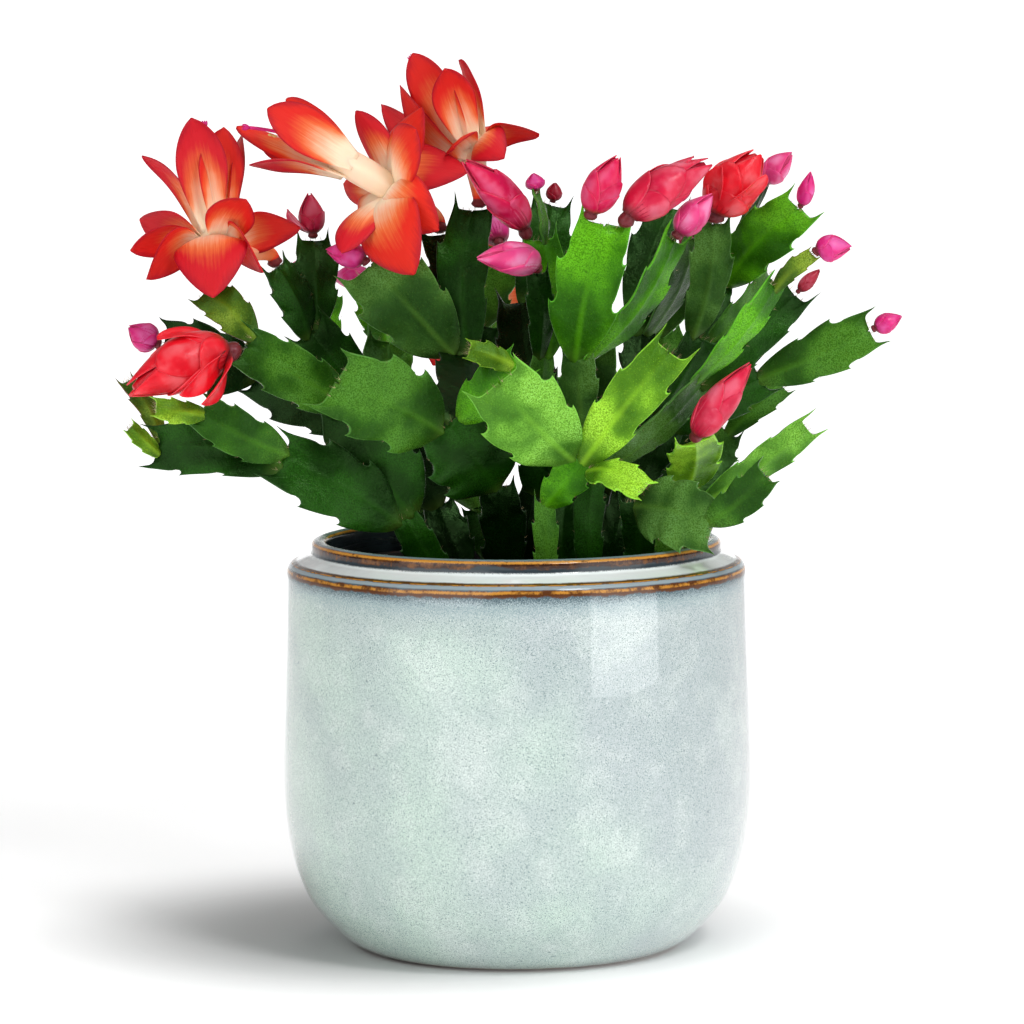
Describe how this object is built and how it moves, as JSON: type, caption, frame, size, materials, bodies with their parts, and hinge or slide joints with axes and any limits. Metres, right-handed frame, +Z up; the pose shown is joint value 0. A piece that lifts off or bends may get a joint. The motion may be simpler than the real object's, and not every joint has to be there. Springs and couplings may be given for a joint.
{
  "type": "potted christmas cactus",
  "caption": "Christmas cactus with flat toothed stem joints, buds and open blooms, in a plastic pot with soil that stands inside a round glazed planter.",
  "frame": {"origin": "middle of the flat foot that the planter stands on", "axes": "+Z up along the planter's axis, -Y the front that the picture shows, +X to its right"},
  "size_m": [0.2473, 0.2211, 0.2855],
  "materials": {
    "glaze": "glossy pale grey-green glaze, speckled, brown where it breaks on the rim",
    "black_plastic": "moulded black",
    "potting_soil": "damp peat with bark crumbs",
    "pad_green": "waxy green skin with a pale midrib",
    "petal_coral": "thin petal, coral margin to a cream throat",
    "style_magenta": "smooth magenta thread and tip",
    "bud_pink": "wrapped petals, magenta with pale streaks"
  },
  "bodies": {
    "root": {"glazed_pot": "glaze", "plastic_pot": "black_plastic", "potting_soil": "potting_soil", "stem_left_front": "pad_green", "stem_left_rear": "pad_green", "stem_centre_left": "pad_green", "stem_front": "pad_green", "stem_centre": "pad_green", "stem_centre_rear": "pad_green", "stem_right_front": "pad_green", "stem_right_middle": "pad_green", "stem_right_low": "pad_green", "stem_right_outer": "pad_green", "stem_right_rear": "pad_green", "stem_rear_left": "pad_green", "stem_rear_middle": "pad_green", "stem_rear": "pad_green", "stem_rear_right": "pad_green", "bloom_left": "petal_coral", "bloom_left_style": "style_magenta", "bloom_middle": "petal_coral", "bloom_middle_style": "style_magenta", "bloom_top": "petal_coral", "bloom_top_style": "style_magenta", "bloom_rear": "petal_coral", "bloom_rear_style": "style_magenta", "bud_left_red": "bud_pink", "bud_left_outer": "bud_pink", "bud_left_inner": "bud_pink", "bud_left_upper": "bud_pink", "bud_middle_tall": "bud_pink", "bud_middle_low": "bud_pink", "bud_middle_tip": "bud_pink", "bud_middle_small": "bud_pink", "bud_front_upright": "bud_pink", "bud_front_large": "bud_pink", "bud_front_side": "bud_pink", "bud_right_red": "bud_pink", "bud_right_pink": "bud_pink", "bud_right_rear": "bud_pink", "bud_right_inner": "bud_pink", "bud_right_tip": "bud_pink", "bud_right_side": "bud_pink", "bud_right_young": "bud_pink", "bud_right_outer": "bud_pink", "bud_right_hanging": "bud_pink", "bud_rear_left": "bud_pink", "bud_rear_outer": "bud_pink", "bud_rear_middle": "bud_pink", "bud_rear_upper": "bud_pink", "bud_rear_low": "bud_pink", "bud_rear_right": "bud_pink"}
  },
  "joints": []
}
